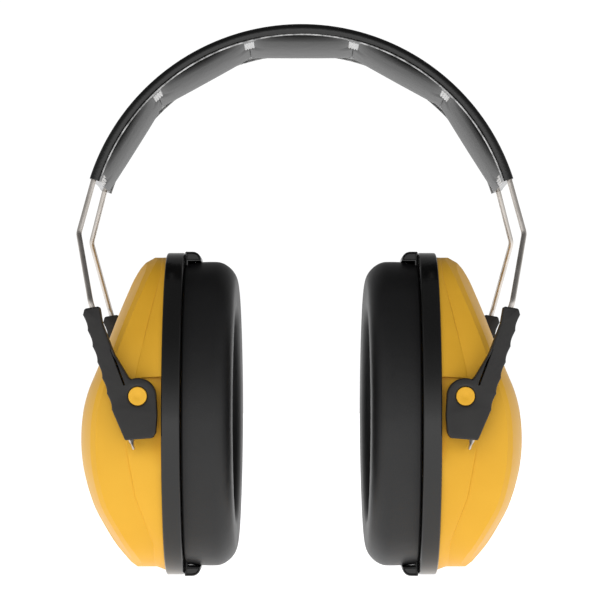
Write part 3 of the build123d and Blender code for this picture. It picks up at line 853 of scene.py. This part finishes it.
def band_pad(middle):
    """One pad about its middle angle: rows from its underside's middle out to its rim and back over its top.

    The rim rises as a superellipse of the distance in from the rounded outline. The underside is
    crowned: it rises as a parabola towards both edges of the band, and swells a little lengthwise.
    """
    size = np.array([pad_half_length, pad_half_width])
    quarter = [(pad_half_length, notch_y[0]), (pad_half_length - pad_notch, notch_y[1]),
               (pad_half_length - pad_notch, pad_half_width)]
    right = [(x, -y) for x, y in quarter[::-1]] + [(pad_half_length, pad_half_width)]
    radii = [pad_corner, notch_corner, notch_corner, pad_corner]
    outline = evenly(rounded(right + [(-x, y) for x, y in right[::-1]], radii + radii[::-1], steps=8), 280)
    rows = []
    for share in np.concatenate([np.linspace(0, 0.72, 14), np.linspace(0.75, 1, 22)]):
        at = outline * share
        back = np.clip((-at[:, 1] - notch_y[0]) / (notch_y[1] - notch_y[0]), 0, 1)
        room = np.stack([size[0] - pad_notch * back, np.full(len(at), size[1])], 1)
        q = np.abs(at) - room + pad_corner
        inside = pad_corner - np.hypot(*np.maximum(q, 0).T) - np.minimum(q.max(1), 0)
        t = np.clip(inside / pad_rim, 0, 1)
        rise = (1 - (1 - t) ** rim_power) ** (1 / rim_power)
        swell = pad_swell * (1 - (at[:, 0] / size[0]) ** 2) * (1 - (at[:, 1] / size[1]) ** 2)
        angle = at[:, 0] / pad_flat_r
        crown = (pad_edge_r - pad_flat_r) * np.abs(at[:, 1] / size[1]) ** crown_power
        low = pad_flat_r / np.cos(angle) - swell + crown
        flat = on_arch(pad_base_r - (pad_base_r - low) * rise, middle + np.degrees(angle))
        rows.append(np.stack([flat[:, 0], at[:, 1], flat[:, 1]], -1))
    flat = on_arch(pad_base_r, middle)
    rows.append(np.repeat(np.array([[flat[0], 0, flat[1]]]), len(outline), axis=0))
    return np.stack(rows)


def land(middle, half):
    """A ribbed weld in the pads' notch: a cosine wave along the arch on its underside, flat on top."""
    u = np.linspace(-half, half, 41)
    wave = land_r + rib_height * np.cos(2 * math.pi * u / rib_pitch)
    under = on_arch(wave, middle + np.degrees(u / land_r))
    over = on_arch(land_r + land_thickness, middle + np.degrees(u / land_r))[::-1]
    loop = np.vstack([under, over])
    rows = [np.insert(loop, 1, y, axis=1) for y in np.linspace(-land_y[1], -land_y[0], 9)]
    ends = [np.repeat(row.mean(0)[None], len(loop), axis=0) for row in (rows[0], rows[-1])]
    return np.stack([ends[0], *rows, ends[1]])


crown_pad = piece("crown_pad", [band_pad(0)], pad_vinyl, sharp=80)
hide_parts("headband_lining", "crown_foam")
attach(crown_pad, "headband")
for side, sign in sides:
    for name, index in (("inner", 1), ("end", 2)):
        soft_pad = piece(f"{side}_{name}_pad", [band_pad(index * pad_angle)], pad_vinyl, sign, sharp=80)
        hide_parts("headband_lining", f"{side}_{name}_foam")
        bends(soft_pad)
    end_half = (math.radians(band_end - 2.5 * pad_angle) * land_r + weld_width / 2) / 2 + end_lap
    strips = [land(joint * pad_angle, weld_width / 2) for joint in (0.5, 1.5)]
    strips.append(land(band_end - math.degrees(end_half / land_r), end_half))
    # The welds' pale grey is a painted reflection of the light off black vinyl.
    welds = piece(side + "_band_welds_painted_reflection", strips, weld_painted_reflection, sign, sharp=80)
    bends(welds)

# Studio. A plain white floor runs back out of sight under a white sky. A broad soft light hangs
# in front and above, with a weaker one at each side of it, and the camera looks on from the front.

floor_gap = 0.012
floor_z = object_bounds()[0][2] - floor_gap
floor_half = 9000.0

# Matt white paper, lit from behind as well so that no edge or shadow shows.
paper, tree, surface, place = finish_of(
    "white_paper", Roughness=0.9, Emission_Color=(1, 1, 1, 1), Emission_Strength=1.0)
fleck = add(tree, "ShaderNodeTexNoise", Vector=place, Scale=3.0, Detail=1.0).outputs[0]
tree.links.new(ramp(tree, fleck, [(0.3, "F7F7F7"), (0.7, "FBFBFB")]), surface.inputs["Base Color"])
spread = np.array([-floor_half, floor_half])
floor_grid = np.stack([*np.meshgrid(spread, spread), np.full((2, 2), floor_z / MM)], -1)
floor = piece("floor", [floor_grid], paper, closed=False)

world = bpy.data.worlds.new("studio_white")
bpy.context.scene.world = world
world.use_nodes = True
sky = world.node_tree
sky.nodes.clear()
upward = add(sky, "ShaderNodeSeparateXYZ", Vector=add(sky, "ShaderNodeTexCoord").outputs["Generated"])
height = add(sky, "ShaderNodeMapRange", Value=upward.outputs["Z"], From_Min=-1.0, From_Max=1.0)
glow = ramp(sky, height.outputs[0], [(0.4, "FFFFFF"), (0.54, "FFFFFF"), (0.66, "A4A4A4"), (0.85, "6C6C6C")])
lit = add(sky, "ShaderNodeBackground", Color=glow, Strength=1.0)
seen = add(sky, "ShaderNodeBackground", Color=(1, 1, 1, 1), Strength=1.05)
direct = add(sky, "ShaderNodeLightPath").outputs["Is Camera Ray"]
either = add(sky, "ShaderNodeMixShader", i0=direct, i1=lit.outputs[0], i2=seen.outputs[0])
add(sky, "ShaderNodeOutputWorld", Surface=either.outputs[0])

aim_z = pivot[2] * MM


def soft_light(name, place_at, size, power):
    """A square soft light aimed at the middle of the object."""
    lamp = bpy.data.lights.new(name, "AREA")
    lamp.size, lamp.energy = size, power
    made = bpy.data.objects.new(name, lamp)
    bpy.context.scene.collection.objects.link(made)
    made.location = place_at
    toward = np.array([0, 0, aim_z]) - np.array(place_at)
    made.visible_glossy = False
    made.rotation_euler = (math.atan2(math.hypot(*toward[:2]), -toward[2]), 0,
                           math.atan2(toward[1], toward[0]) - math.pi / 2)


soft_light("key", (-0.3, -1.3, 0.7), 0.9, 5.2)
soft_light("fill_left", (-0.85, -1.1, 0.6), 0.4, 1.7)
soft_light("fill_right", (0.85, -1.1, 0.6), 0.4, 1.7)

view_distance = 0.8
view_rise = 2.34          # the camera looks up by this many degrees
lens = bpy.data.cameras.new("camera")
lens.lens, lens.sensor_width = 141.2, 36.0
camera = bpy.data.objects.new("camera", lens)
bpy.context.scene.collection.objects.link(camera)
camera.location = (-0.0005, -view_distance, aim_z)
camera.rotation_euler = (math.radians(90 + view_rise), 0, 0)
bpy.context.scene.camera = camera
bpy.context.scene.view_settings.view_transform = "Standard"
